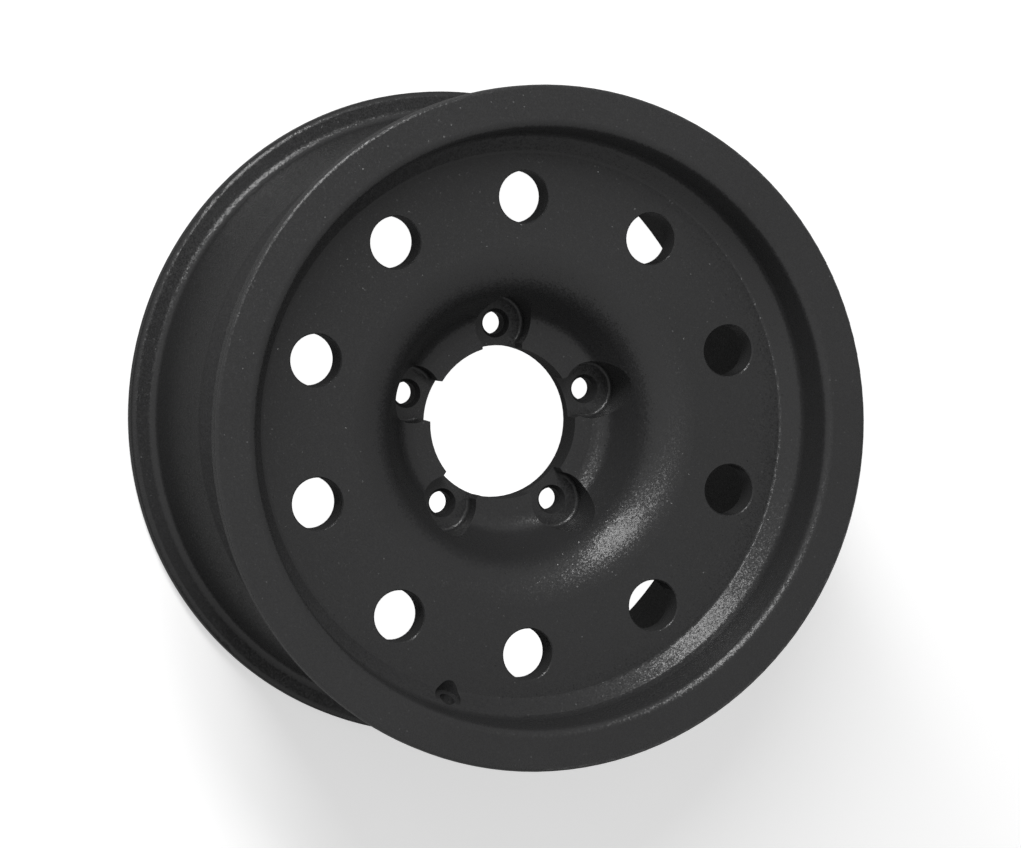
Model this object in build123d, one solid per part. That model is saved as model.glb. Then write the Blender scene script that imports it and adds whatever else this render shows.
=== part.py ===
from build123d import *
from math import cos, radians, sin, tan
import os

# A one-piece cast wheel rim for an off-road vehicle, 17 x 8.5 inches, with five lug
# holes on a 139.7 mm circle. Millimetres. The wheel's axis is Z and its outboard face
# looks up. The origin is on the axis, half way between the two ends of the rim.

# Rim, as the tyre meets it
BEAD_SEAT_DIAMETER = 436.6
RIM_WIDTH = 215.9
FLANGE_HEIGHT = 17.5
FLANGE_THICKNESS = 13.0
FLANGE_TIP_RADIUS = 4.0
FLANGE_ROOT_RADIUS = 6.0
FLANGE_EDGE_RADIUS = 2.4
BEAD_SEAT_WIDTH = 24.0
BEAD_SEAT_TAPER = 5.0

# Drop centre, which lets the tyre's bead over the flange
WELL_DEPTH = 18.3
WELL_SETBACK = 49.0
WELL_WIDTH = 43.0
WELL_RISE = 26.0
LEDGE_DROP = 6.0
WELL_CORNER_RADIUS = 9.0

# Walls of the barrel
MOUTH_WALL = 5.7
MOUTH_EDGE_RADIUS = 1.5
LEDGE_WALL = 7.0
WELL_WALL = 7.5

# Front lip and the step behind it
LIP_WIDTH = 29.4
LIP_INNER_RADIUS = 6.5
LIP_DRAFT = 4.7
BAND_HEIGHT = 10.8
BAND_ANGLE = 40.0
BAND_TOP_RADIUS = 8.0
BAND_FOOT_RADIUS = 3.0

# Disc and the bowl in its middle
DISC_SETBACK = 46.2
DISC_THICKNESS = 20.9
DISC_ROOT_RADIUS = 10.0
BOWL_WALL_ANGLE = 62.0
BOWL_SHOULDER_RADIUS = 39.0
BOWL_FLOOR_RADIUS = 75.9
BOWL_FLOOR_FILLET = 15.0
BOWL_WALL_THICKNESS = 16.0

# Hub
MOUNT_OFFSET = -6.0
HUB_THICKNESS = 31.5
HUB_BORE_DIAMETER = 108.0
HUB_BORE_CHAMFER = 6.1
HUB_SIDE_SETBACK = 13.7
HUB_SIDE_DRAFT = 12.0
HUB_SIDE_FILLET = 6.0
RELIEF_DEPTH = 4.0
RELIEF_WIDTH = 14.0
RELIEF_CIRCLE_DIAMETER = 144.0
RELIEF_SWEEP = 28.0

# Lug holes
LUG_COUNT = 5
LUG_CIRCLE_DIAMETER = 139.7
LUG_HOLE_DIAMETER = 16.0
LUG_SEAT_DIAMETER = 20.8
LUG_SEAT_ANGLE = 60.0
LUG_POCKET_DIAMETER = 41.0
LUG_POCKET_DEPTH = 15.7
LUG_POCKET_FILLET = 2.5
LUG_SLOT_WIDTH = 29.4

# Windows
WINDOW_COUNT = 10
WINDOW_DIAMETER = 36.0
WINDOW_CIRCLE_DIAMETER = 318.5
WINDOW_CHAMFER = 0.8

# Valve hole
VALVE_HOLE_DIAMETER = 11.3
VALVE_POCKET_DIAMETER = 19.5
VALVE_SEAT_SETBACK = 42.4
VALVE_SEAT_DIAMETER = 393.4
VALVE_TILT = 60.0
VALVE_WALL = 5.0

# The first window and the first lug hole stand at the top of the wheel
TOP_ANGLE = 90.0
VALVE_GAP = 4.5

# Places that follow from the sizes above
seat_r = BEAD_SEAT_DIAMETER / 2
flange_r = seat_r + FLANGE_HEIGHT
flange_face_z = RIM_WIDTH / 2
front_z = flange_face_z + FLANGE_THICKNESS
back_z = -front_z
disc_z = front_z - DISC_SETBACK
disc_back_z = disc_z - DISC_THICKNESS
mount_z = MOUNT_OFFSET
pad_z = mount_z + HUB_THICKNESS
bore_r = HUB_BORE_DIAMETER / 2
well_r = seat_r - WELL_DEPTH
ledge_r = seat_r - LEDGE_DROP
lug_floor_z = pad_z - LUG_POCKET_DEPTH
# Cutters run this far past the surfaces that they open
CLEAR = 5.0


def lip_and_face():
    """Corners of the front: hub pad, bowl, disc, sloping band, step and flat lip."""
    wall_lean = tan(radians(BOWL_WALL_ANGLE))
    bowl_top_r = BOWL_FLOOR_RADIUS + (disc_z - pad_z) / wall_lean
    lip_r = flange_r - LIP_WIDTH
    band_top_z = disc_z + BAND_HEIGHT
    band_top_r = lip_r - (front_z - band_top_z) * tan(radians(LIP_DRAFT))
    band_foot_r = band_top_r - BAND_HEIGHT / tan(radians(BAND_ANGLE))
    return [
        (bore_r, pad_z, 0),
        (BOWL_FLOOR_RADIUS, pad_z, BOWL_FLOOR_FILLET),
        (bowl_top_r, disc_z, BOWL_SHOULDER_RADIUS),
        (band_foot_r, disc_z, BAND_FOOT_RADIUS),
        (band_top_r, band_top_z, BAND_TOP_RADIUS),
        (lip_r, front_z, LIP_INNER_RADIUS),
        (flange_r, front_z, FLANGE_EDGE_RADIUS),
    ]


def tyre_side():
    """Corners of the tyre side: two flanges, their tapered seats and the drop centre."""
    seat_end_r = seat_r - BEAD_SEAT_WIDTH * tan(radians(BEAD_SEAT_TAPER))
    well_front_z = flange_face_z - WELL_SETBACK
    well_back_z = well_front_z - WELL_WIDTH
    return [
        (flange_r, flange_face_z, FLANGE_TIP_RADIUS),
        (seat_r, flange_face_z, FLANGE_ROOT_RADIUS),
        (seat_end_r, flange_face_z - BEAD_SEAT_WIDTH, 0),
        (well_r, well_front_z, WELL_CORNER_RADIUS),
        (well_r, well_back_z, WELL_CORNER_RADIUS),
        (ledge_r, well_back_z - WELL_RISE, WELL_CORNER_RADIUS),
        (seat_end_r, -flange_face_z + BEAD_SEAT_WIDTH, 0),
        (seat_r, -flange_face_z, FLANGE_ROOT_RADIUS),
        (flange_r, -flange_face_z, FLANGE_TIP_RADIUS),
        (flange_r, back_z, FLANGE_EDGE_RADIUS),
    ]


def brake_side():
    """Corners of the brake side: barrel, back of the disc and bowl, and mounting pad."""
    well_back_z = flange_face_z - WELL_SETBACK - WELL_WIDTH
    wall_angle = radians(BOWL_WALL_ANGLE)
    wall_back_r = BOWL_FLOOR_RADIUS + BOWL_WALL_THICKNESS / sin(wall_angle)
    disc_root_r = wall_back_r + (disc_back_z - pad_z) / tan(wall_angle)
    # The drafted side of the hub leaves the back of the bowl's wall here
    side_z = disc_back_z - HUB_SIDE_SETBACK
    side_r = wall_back_r + (side_z - pad_z) / tan(wall_angle)
    mount_edge_r = side_r - (side_z - mount_z) * tan(radians(HUB_SIDE_DRAFT))
    return [
        (seat_r - MOUTH_WALL, back_z, MOUTH_EDGE_RADIUS),
        (ledge_r - LEDGE_WALL, well_back_z - WELL_RISE, WELL_CORNER_RADIUS),
        (well_r - WELL_WALL, well_back_z, WELL_CORNER_RADIUS),
        (well_r - WELL_WALL, disc_back_z, DISC_ROOT_RADIUS),
        (disc_root_r, disc_back_z, BOWL_SHOULDER_RADIUS - DISC_THICKNESS),
        (side_r, side_z, HUB_SIDE_FILLET),
        (mount_edge_r, mount_z, 0),
        (bore_r + HUB_BORE_CHAMFER, mount_z, 0),
        (bore_r, mount_z + HUB_BORE_CHAMFER, 0),
    ]


def wheel_body():
    """The whole casting as one turned form, before the holes."""
    corners = lip_and_face() + tyre_side() + brake_side()
    points = [(r, z) for r, z, _ in corners]
    rounds = [corner_round for _, _, corner_round in corners]
    with BuildPart() as body:
        with BuildSketch(Plane.XZ):
            with BuildLine():
                FilletPolyline(*points, radius=rounds, close=True)
            make_face()
        revolve(axis=Axis.Z)
    return body.part


def window_cutter():
    """Straight hole through the disc, with its front edge broken, on the Z axis."""
    window_r = WINDOW_DIAMETER / 2
    with BuildPart() as cutter:
        # Turned from YZ, so that its seam doesn't lie on the rim's line of symmetry
        with BuildSketch(Plane.YZ):
            with BuildLine():
                Polyline(
                    (0, disc_back_z - CLEAR),
                    (window_r, disc_back_z - CLEAR),
                    (window_r, disc_z - WINDOW_CHAMFER),
                    (window_r + WINDOW_CHAMFER + CLEAR, disc_z + CLEAR),
                    (0, disc_z + CLEAR),
                    close=True,
                )
            make_face()
        revolve(axis=Axis.Z)
    return cutter.part


def lug_cutter():
    """Lug hole, tapered nut seat, socket pocket and the slot from it to the hub bore."""
    hole_r = LUG_HOLE_DIAMETER / 2
    seat_top_r = LUG_SEAT_DIAMETER / 2
    pocket_r = LUG_POCKET_DIAMETER / 2
    seat_height = (seat_top_r - hole_r) / tan(radians(LUG_SEAT_ANGLE / 2))
    outline = [
        (0, mount_z - CLEAR, 0),
        (hole_r, mount_z - CLEAR, 0),
        (hole_r, lug_floor_z - seat_height, 0),
        (seat_top_r, lug_floor_z, 0),
        (pocket_r, lug_floor_z, LUG_POCKET_FILLET),
        (pocket_r, disc_z + CLEAR, 0),
        (0, disc_z + CLEAR, 0),
    ]
    points = [(r, z) for r, z, _ in outline]
    rounds = [corner_round for _, _, corner_round in outline]
    slot_length = LUG_CIRCLE_DIAMETER / 2 - CLEAR
    to_bore = (Align.MAX, Align.CENTER, Align.MIN)
    with BuildPart() as cutter:
        with BuildSketch(Plane.XZ):
            with BuildLine():
                FilletPolyline(*points, radius=rounds, close=True)
            make_face()
        revolve(axis=Axis.Z)
        with Locations((0, 0, lug_floor_z)):
            Box(slot_length, LUG_SLOT_WIDTH, LUG_POCKET_DEPTH + CLEAR, align=to_bore)
    return cutter.part


def relief_cutter():
    """Curved recess in the mounting face, on the X axis, to sit between two lug holes."""
    with BuildPart() as cutter:
        with BuildSketch(Plane.XY.offset(mount_z - CLEAR)):
            arc = CenterArc((0, 0), RELIEF_CIRCLE_DIAMETER / 2, -RELIEF_SWEEP / 2, RELIEF_SWEEP)
            SlotArc(arc, RELIEF_WIDTH)
        extrude(amount=CLEAR + RELIEF_DEPTH)
    return cutter.part


def valve_cutter():
    """Slanted valve hole with its pocket at the front and a spot face behind."""
    tilt = radians(VALVE_TILT)
    seat_centre = (VALVE_SEAT_DIAMETER / 2, 0, front_z - VALVE_SEAT_SETBACK)
    outward = (-sin(tilt), 0, cos(tilt))
    seat = Plane(origin=seat_centre, x_dir=(0, 1, 0), z_dir=outward)
    reach = LIP_WIDTH + DISC_SETBACK
    up = (Align.CENTER, Align.CENTER, Align.MIN)
    down = (Align.CENTER, Align.CENTER, Align.MAX)
    pocket = seat * Cylinder(VALVE_POCKET_DIAMETER / 2, reach, align=up)
    hole = seat * Cylinder(VALVE_HOLE_DIAMETER / 2, 2 * VALVE_WALL, align=down)
    behind = seat.offset(-VALVE_WALL)
    spot_face = behind * Cylinder(VALVE_POCKET_DIAMETER / 2, reach, align=down)
    return pocket + hole + spot_face


def around(cutter, count, radius=0.0, start=TOP_ANGLE):
    """Copies of a cutter spaced evenly on a circle about the wheel's axis."""
    places = [start + 360.0 * i / count for i in range(count)]
    return [Rot(0, 0, a) * Pos(radius, 0, 0) * cutter for a in places]


def wheel_rim():
    """The finished casting."""
    window_step = 360.0 / WINDOW_COUNT
    lug_step = 360.0 / LUG_COUNT
    cutters = around(window_cutter(), WINDOW_COUNT, WINDOW_CIRCLE_DIAMETER / 2)
    cutters += around(lug_cutter(), LUG_COUNT, LUG_CIRCLE_DIAMETER / 2)
    cutters += around(relief_cutter(), LUG_COUNT, start=TOP_ANGLE + lug_step / 2)
    cutters.append(Rot(0, 0, TOP_ANGLE + VALVE_GAP * window_step) * valve_cutter())
    return wheel_body() - cutters


os.makedirs("parts", exist_ok=True)
rim = wheel_rim()
rim.label = "wheel_rim"
export_step(rim, "parts/wheel_rim.step")
print("wheel_rim volume", round(rim.volume / 1000.0, 1), "cm3, box", rim.bounding_box().size)
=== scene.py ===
# %% [markdown]
# # A cast wheel rim in a textured coat
#
# The object is a bare wheel rim for an off-road vehicle. It was cast in one piece, machined,
# and then powder coated in a dark charcoal with a fine pebbled texture. The solid model already
# has the whole form, so this lesson is about looks: a camera that matches a photograph, a plain
# white studio, and a coat whose grain, sparkle and soft sheen come from shader nodes alone.
# The solid loads as a fixed frame, in metres, with the wheel's axis on Z and its face up.

# %% Load the frame
from math import radians

import bpy
import numpy as np
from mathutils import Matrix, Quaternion, Vector


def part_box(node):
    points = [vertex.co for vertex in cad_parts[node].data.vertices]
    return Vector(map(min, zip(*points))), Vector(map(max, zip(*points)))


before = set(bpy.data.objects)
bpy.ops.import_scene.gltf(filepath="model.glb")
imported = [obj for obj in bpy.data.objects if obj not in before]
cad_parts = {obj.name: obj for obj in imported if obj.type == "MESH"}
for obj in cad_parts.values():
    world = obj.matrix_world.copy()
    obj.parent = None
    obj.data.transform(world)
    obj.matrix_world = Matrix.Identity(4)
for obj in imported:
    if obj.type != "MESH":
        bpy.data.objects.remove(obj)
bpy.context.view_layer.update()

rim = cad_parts["wheel_rim"]
floor_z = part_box("wheel_rim")[0][2]

# %% [markdown]
# ## The camera
#
# The wheel lies on its back flange and the camera looks down on it, from the side on which its
# barrel shows. The place and the angles were fitted to the edges of the wheel in the photograph,
# so the lens is a long one, far off, and nothing needs shifting. A target object with a Track To
# constraint would also aim it, but three plain angles keep the small roll that the photo has.

# %% Camera
LENS_MM = 155.02
SENSOR_MM = 36.0
CAMERA_AT = (-0.99893, 0.17521, 2.95565)
CAMERA_ANGLES_DEG = (-3.0867, -18.9479, -0.5300)
CLIP_END_M = 50.0

camera_data = bpy.data.cameras.new("camera")
camera_data.lens = LENS_MM
camera_data.sensor_width = SENSOR_MM
camera_data.clip_end = CLIP_END_M
camera = bpy.data.objects.new("camera", camera_data)
camera.location = CAMERA_AT
camera.rotation_euler = [radians(a) for a in CAMERA_ANGLES_DEG]
bpy.context.scene.collection.objects.link(camera)
bpy.context.scene.camera = camera
bpy.context.scene.view_settings.view_transform = "Standard"
print("camera", round(Vector(CAMERA_AT).length, 3), "m from the wheel's centre")

# %% [markdown]
# ## Small helpers for nodes
#
# Every shader below is a handful of nodes. The first helper adds a node and sets its values, the
# second joins an output to an input. The others are the small sums that come up again and again:
# a ramp from one value to another, a product, and the largest of several values.


# %% Node helpers
def add(tree, kind, values=None, **settings):
    """Adds a node of that kind. settings are its own options, values its unlinked inputs."""
    node = tree.nodes.new(kind)
    for name, value in settings.items():
        setattr(node, name, value)
    for name, value in (values or {}).items():
        node.inputs[name].default_value = value
    return node


def join(tree, source, target):
    """Joins an output socket to an input socket."""
    tree.links.new(source, target)


def new_material(name):
    """An empty node material and its output node."""
    material = bpy.data.materials.new(name)
    material.use_nodes = True
    material.node_tree.nodes.clear()
    return material, add(material.node_tree, "ShaderNodeOutputMaterial")


def ramp(tree, value, start, end, low, high):
    """low up to start, high from end on, and in a straight line from one to the other between."""
    node = add(tree, "ShaderNodeMapRange", {
        "From Min": start,
        "From Max": end,
        "To Min": low,
        "To Max": high,
    })
    join(tree, value, node.inputs["Value"])
    return node.outputs[0]


def times(tree, first, second):
    """The product of two sockets."""
    product = add(tree, "ShaderNodeMath", operation="MULTIPLY")
    join(tree, first, product.inputs[0])
    join(tree, second, product.inputs[1])
    return product.outputs[0]


def largest(tree, sockets):
    """The largest of several sockets."""
    best = sockets[0]
    for other in sockets[1:]:
        step = add(tree, "ShaderNodeMath", operation="MAXIMUM")
        join(tree, best, step.inputs[0])
        join(tree, other, step.inputs[1])
        best = step.outputs[0]
    return best


print("node helpers ready")

# %% [markdown]
# ## The floor
#
# A product photograph like this one has a sweep of white paper that melts into white. The paper
# could be lit until it clips, but the same light would wash out the dark coat. So the paper gets
# its last bit of white from a glow of its own, and the light that falls on the wheel stays plain.
# What remains of its ordinary shading holds the soft shadow. Towards the horizon, where the lamp
# hardly reaches, the glow alone is white.
#
# How the paper looks depends on who asks. The camera sees it white everywhere, and under the
# wheel it is lit from behind like a light table, because the photograph shows pure white through
# the windows and the bore. The coat sees the same sweep from about a metre on. Nearer than that
# the paper sends little light to it, as the photographed wheel stood on its tread, with no paper
# close to its barrel. White paper all around would brighten the barrel from below.


# %% Floor mesh
def grid_surface(name, points):
    """A mesh object from a grid of points (rows, columns, 3): each four neighbours are a face."""
    rows, columns = points.shape[:2]
    index = np.arange(rows * columns).reshape(rows, columns)
    corners = [index[:-1, :-1], index[:-1, 1:], index[1:, 1:], index[1:, :-1]]
    faces = np.stack([c.ravel() for c in corners], axis=1)
    mesh = bpy.data.meshes.new(name)
    mesh.from_pydata(points.reshape(-1, 3), [], faces)
    mesh.update()
    made = bpy.data.objects.new(name, mesh)
    bpy.context.scene.collection.objects.link(made)
    return made


FLOOR_HALF_M = 12.0
FLOOR_POINTS = 9

side = np.linspace(-FLOOR_HALF_M, FLOOR_HALF_M, FLOOR_POINTS)
floor_x, floor_y = np.meshgrid(side, side)
floor = grid_surface("floor", np.stack([floor_x, floor_y, np.full_like(floor_x, floor_z)], axis=2))
print("floor at", round(floor_z, 5), "m")


# %% [markdown]
# The paper's material is a matte white plus that glow. Its levels are ramps over the distance
# from the wheel's axis, so that none of them has an edge that shows. The Light Path node tells
# camera rays from those that leave a shiny surface. Near the wheel these see the gloss levels,
# and the camera sees the glow.

# %% Floor material
PAPER = 0.80
PAPER_GLOW = 0.46
TABLE_RADIUS_M = 0.215
TABLE_EDGE_M = 0.235
TABLE_GLOSS = 0.05
NEAR_PAPER = 0.04
NEAR_GLOSS = 0.13
NEAR_M = 0.55
FAR_M = 0.95
HORIZON_M = 1.425
HORIZON_GLOW = 1.0

paper, paper_out = new_material("white_paper")
tree = paper.node_tree
paper_matte = add(tree, "ShaderNodeBsdfDiffuse")
paper_glow = add(tree, "ShaderNodeEmission", {"Color": (1, 1, 1, 1)})
paper_sum = add(tree, "ShaderNodeAddShader")
paper_at = add(tree, "ShaderNodeTexCoord")
from_axis = add(tree, "ShaderNodeVectorMath", {1: (1, 1, 0)}, operation="MULTIPLY")
axis_distance = add(tree, "ShaderNodeVectorMath", operation="LENGTH")
rays = add(tree, "ShaderNodeLightPath")
join(tree, paper_at.outputs["Object"], from_axis.inputs[0])
join(tree, from_axis.outputs[0], axis_distance.inputs[0])
away = axis_distance.outputs["Value"]
seen = ramp(tree, away, TABLE_RADIUS_M, TABLE_EDGE_M, 1.0, PAPER_GLOW)
under = ramp(tree, away, TABLE_RADIUS_M, TABLE_EDGE_M, TABLE_GLOSS, NEAR_GLOSS)
beyond = ramp(tree, away, NEAR_M, FAR_M, 0.0, PAPER_GLOW)
horizon = ramp(tree, away, NEAR_M, HORIZON_M, 0.0, HORIZON_GLOW)
by_camera = rays.outputs["Is Camera Ray"]
shiny = largest(tree, [rays.outputs["Is Glossy Ray"], rays.outputs["Is Transmission Ray"]])
glow = largest(tree, [
    times(tree, largest(tree, [seen, horizon]), by_camera),
    times(tree, under, shiny),
    times(tree, beyond, shiny),
])
dimmed = ramp(tree, away, NEAR_M, FAR_M, NEAR_PAPER, PAPER)
plain = ramp(tree, by_camera, 0.0, 1.0, 0.0, PAPER)
join(tree, largest(tree, [plain, dimmed]), paper_matte.inputs["Color"])
join(tree, glow, paper_glow.inputs["Strength"])
join(tree, paper_matte.outputs[0], paper_sum.inputs[0])
join(tree, paper_glow.outputs[0], paper_sum.inputs[1])
join(tree, paper_sum.outputs[0], paper_out.inputs["Surface"])
floor.data.materials.append(paper)
print("paper", paper.name, "with", len(tree.nodes), "nodes")

# %% [markdown]
# ## The room
#
# A studio's walls and ceiling light the wheel from all around. Here they are the world: even, and
# a little brighter towards the side on which the barrel shows and towards the ceiling. The ramp
# over one direction stands for the walls of a real room, where a picture of a studio would bring
# in reflections that the photograph doesn't have. To the camera, and through glass, the room is
# plain white. A shiny surface sees a share of that white mixed into the room's own level, because
# all of it would nearly double the dark coat's sheen.

# %% Room
ROOM_LEVEL = 0.23
SIDE_LEVEL = 0.25
ROOM_SHINE = 0.20
SIDE = Vector((-0.55, -0.30, 0.35)).normalized()
SIDE_START = -0.2

world = bpy.data.worlds.new("room")
world.use_nodes = True
world.node_tree.nodes.clear()
tree = world.node_tree
room_out = add(tree, "ShaderNodeOutputWorld")
room_light = add(tree, "ShaderNodeBackground", {"Color": (1, 1, 1, 1)})
room_white = add(tree, "ShaderNodeBackground", {"Color": (1, 1, 1, 1), "Strength": 1.0})
room_mix = add(tree, "ShaderNodeMixShader")
room_path = add(tree, "ShaderNodeLightPath")
room_way = add(tree, "ShaderNodeTexCoord")
to_side = add(tree, "ShaderNodeVectorMath", {1: SIDE}, operation="DOT_PRODUCT")
join(tree, room_way.outputs["Generated"], to_side.inputs[0])
level = ramp(tree, to_side.outputs["Value"], SIDE_START, 1.0, ROOM_LEVEL, ROOM_LEVEL + SIDE_LEVEL)
join(tree, level, room_light.inputs["Strength"])
white_share = largest(tree, [
    room_path.outputs["Is Camera Ray"],
    room_path.outputs["Is Transmission Ray"],
    ramp(tree, room_path.outputs["Is Glossy Ray"], 0.0, 1.0, 0.0, ROOM_SHINE),
])
join(tree, white_share, room_mix.inputs[0])
join(tree, room_light.outputs[0], room_mix.inputs[1])
join(tree, room_white.outputs[0], room_mix.inputs[2])
join(tree, room_mix.outputs[0], room_out.inputs["Surface"])
bpy.context.scene.world = world
print("room lights the wheel at", ROOM_LEVEL, "to", round(ROOM_LEVEL + SIDE_LEVEL, 3))


# %% [markdown]
# ## The lamp
#
# The photograph has one broad highlight, on the shoulder of the bowl at its lower right, a second
# on the band behind the lip, and thin ones on the lip and the flanges. The slopes on which they
# lie all point to one lamp, above the wheel and a little to its left. The highlight is long down
# the slope and short around it, so the lamp is a strip: its length runs from the wall up to the
# ceiling, leaning slightly. A sun lamp would light the same places but with a hard edge.


# %% Lamp
LAMP_TOWARDS = (-0.308, 0.67, 0.69)
LAMP_DISTANCE_M = 2.8
LAMP_WIDTH_M = 0.54
LAMP_LENGTH_M = 2.5
LAMP_LEAN_DEG = 12.0
LAMP_WATTS = 68.0


def soft_lamp(name, direction, distance, width, length, lean, watts):
    """An area lamp that shines at the wheel's centre.

    Its length rises towards the wheel's axis, turned by lean degrees about the lamp's own axis.
    """
    data = bpy.data.lights.new(name, "AREA")
    data.shape = "RECTANGLE"
    data.size = width
    data.size_y = length
    data.energy = watts
    lamp = bpy.data.objects.new(name, data)
    away = Vector(direction).normalized()
    lamp.location = away * distance
    turn = away.to_track_quat("Z", "Y") @ Quaternion((0, 0, 1), radians(lean))
    lamp.rotation_euler = turn.to_euler()
    bpy.context.scene.collection.objects.link(lamp)
    return lamp


key = soft_lamp(
    "key_lamp",
    direction=LAMP_TOWARDS,
    distance=LAMP_DISTANCE_M,
    width=LAMP_WIDTH_M,
    length=LAMP_LENGTH_M,
    lean=LAMP_LEAN_DEG,
    watts=LAMP_WATTS,
)
print("key lamp", key.data.energy, "W at", [round(v, 2) for v in key.location])

# %% [markdown]
# ## The textured coat
#
# The coat is a charcoal powder that was baked on. Its pebbles are a little under a millimetre.
# Each pebble is a cell of a Voronoi texture and leans its own way: most by a few degrees, and a
# few steeply, which a high power of a random number gives. So the highlight breaks up into
# speckles, frays out at its ends, and here and there one grain on a flat face catches the lamp.
# A photograph of real coat could be wrapped on as an image, but it would stretch and repeat.
# Cells in the object's own coordinates have no seams and the same grain size on every face.

# %% Coat grain
COAT = (0.0275, 0.0275, 0.0280)
COAT_IOR = 1.44
GRAINS_PER_M = 1300.0
GRAIN_TILT = 0.19
STEEP_GRAIN_TILT = 0.52
STEEPNESS_POWER = 16.0

coat, coat_out = new_material("charcoal_powder_coat")
tree = coat.node_tree
shader = add(tree, "ShaderNodeBsdfPrincipled", {"Metallic": 0.0, "IOR": COAT_IOR})
at = add(tree, "ShaderNodeTexCoord")
surface = add(tree, "ShaderNodeNewGeometry")
grains = add(tree, "ShaderNodeTexVoronoi", {"Scale": GRAINS_PER_M})
centred = add(tree, "ShaderNodeVectorMath", {1: (0.5, 0.5, 0.5)}, operation="SUBTRACT")
grain_parts = add(tree, "ShaderNodeSeparateColor")
chance = add(tree, "ShaderNodeTexWhiteNoise")
steep = add(tree, "ShaderNodeMath", {1: STEEPNESS_POWER}, operation="POWER")
tilted = add(tree, "ShaderNodeVectorMath", operation="SCALE")
leaned = add(tree, "ShaderNodeVectorMath", operation="ADD")
grain_normal = add(tree, "ShaderNodeVectorMath", operation="NORMALIZE")
join(tree, at.outputs["Object"], grains.inputs["Vector"])
join(tree, grains.outputs["Color"], centred.inputs[0])
join(tree, grains.outputs["Color"], grain_parts.inputs[0])
join(tree, grains.outputs["Color"], chance.inputs["Vector"])
join(tree, chance.outputs["Value"], steep.inputs[0])
tilt = ramp(tree, steep.outputs[0], 0.0, 1.0, GRAIN_TILT, STEEP_GRAIN_TILT)
join(tree, centred.outputs[0], tilted.inputs[0])
join(tree, tilt, tilted.inputs["Scale"])
join(tree, surface.outputs["Normal"], leaned.inputs[0])
join(tree, tilted.outputs[0], leaned.inputs[1])
join(tree, leaned.outputs[0], grain_normal.inputs[0])
print("grains of", round(1000 / GRAINS_PER_M, 2), "mm")

# %% [markdown]
# Between the grains and the eye lies the film itself. It flowed a little while it melted, so it
# has a faint orange peel, and it drew back from the sharp edges, where it is thinner, smoother
# and a shade lighter. A painted mask would mark the edges too, but the Bevel node finds them by
# itself: its rounded normal differs from the true one only beside an edge. Broad clouds of a
# slightly lighter and darker tone stand for the uneven thickness that a spray gun leaves, and
# the grains differ a little in how rough they are.

# %% Coat film
PEEL_PER_M = 260.0
PEEL_HEIGHT_M = 0.00005
CLOUDS_PER_M = 9.0
CLOUD_SPAN = (0.3, 0.7)
TONE = (0.94, 1.06)
EDGE_RADIUS_M = 0.0012
EDGE_SPAN = (0.97, 0.75)
EDGE_LIGHTER = 1.35
EDGE_SMOOTHER = 0.85
ROUGHNESS = (0.24, 0.33)

peel = add(tree, "ShaderNodeTexNoise", {"Scale": PEEL_PER_M, "Detail": 2.0, "Roughness": 0.5})
bump = add(tree, "ShaderNodeBump", {"Strength": 1.0, "Distance": PEEL_HEIGHT_M})
join(tree, at.outputs["Object"], peel.inputs["Vector"])
join(tree, peel.outputs[0], bump.inputs["Height"])
join(tree, grain_normal.outputs[0], bump.inputs["Normal"])
join(tree, bump.outputs[0], shader.inputs["Normal"])

rounded = add(tree, "ShaderNodeBevel", {"Radius": EDGE_RADIUS_M}, samples=4)
agree = add(tree, "ShaderNodeVectorMath", operation="DOT_PRODUCT")
join(tree, rounded.outputs[0], agree.inputs[0])
join(tree, surface.outputs["True Normal"], agree.inputs[1])
edge = ramp(tree, agree.outputs["Value"], *EDGE_SPAN, 0.0, 1.0)

clouds = add(tree, "ShaderNodeTexNoise", {"Scale": CLOUDS_PER_M, "Detail": 3.0})
join(tree, at.outputs["Object"], clouds.inputs["Vector"])
tone = ramp(tree, clouds.outputs[0], *CLOUD_SPAN, *TONE)
lighter = ramp(tree, edge, 0.0, 1.0, 1.0, EDGE_LIGHTER)
shade = add(tree, "ShaderNodeVectorMath", {0: COAT}, operation="SCALE")
join(tree, times(tree, tone, lighter), shade.inputs["Scale"])
join(tree, shade.outputs[0], shader.inputs["Base Color"])

rough = ramp(tree, grain_parts.outputs[1], 0.0, 1.0, *ROUGHNESS)
smoother = ramp(tree, edge, 0.0, 1.0, 1.0, EDGE_SMOOTHER)
join(tree, times(tree, rough, smoother), shader.inputs["Roughness"])
join(tree, shader.outputs[0], coat_out.inputs["Surface"])

for slot in rim.material_slots:
    slot.material = coat
print("coat on", rim.name, "with", len(rim.data.polygons), "triangles")
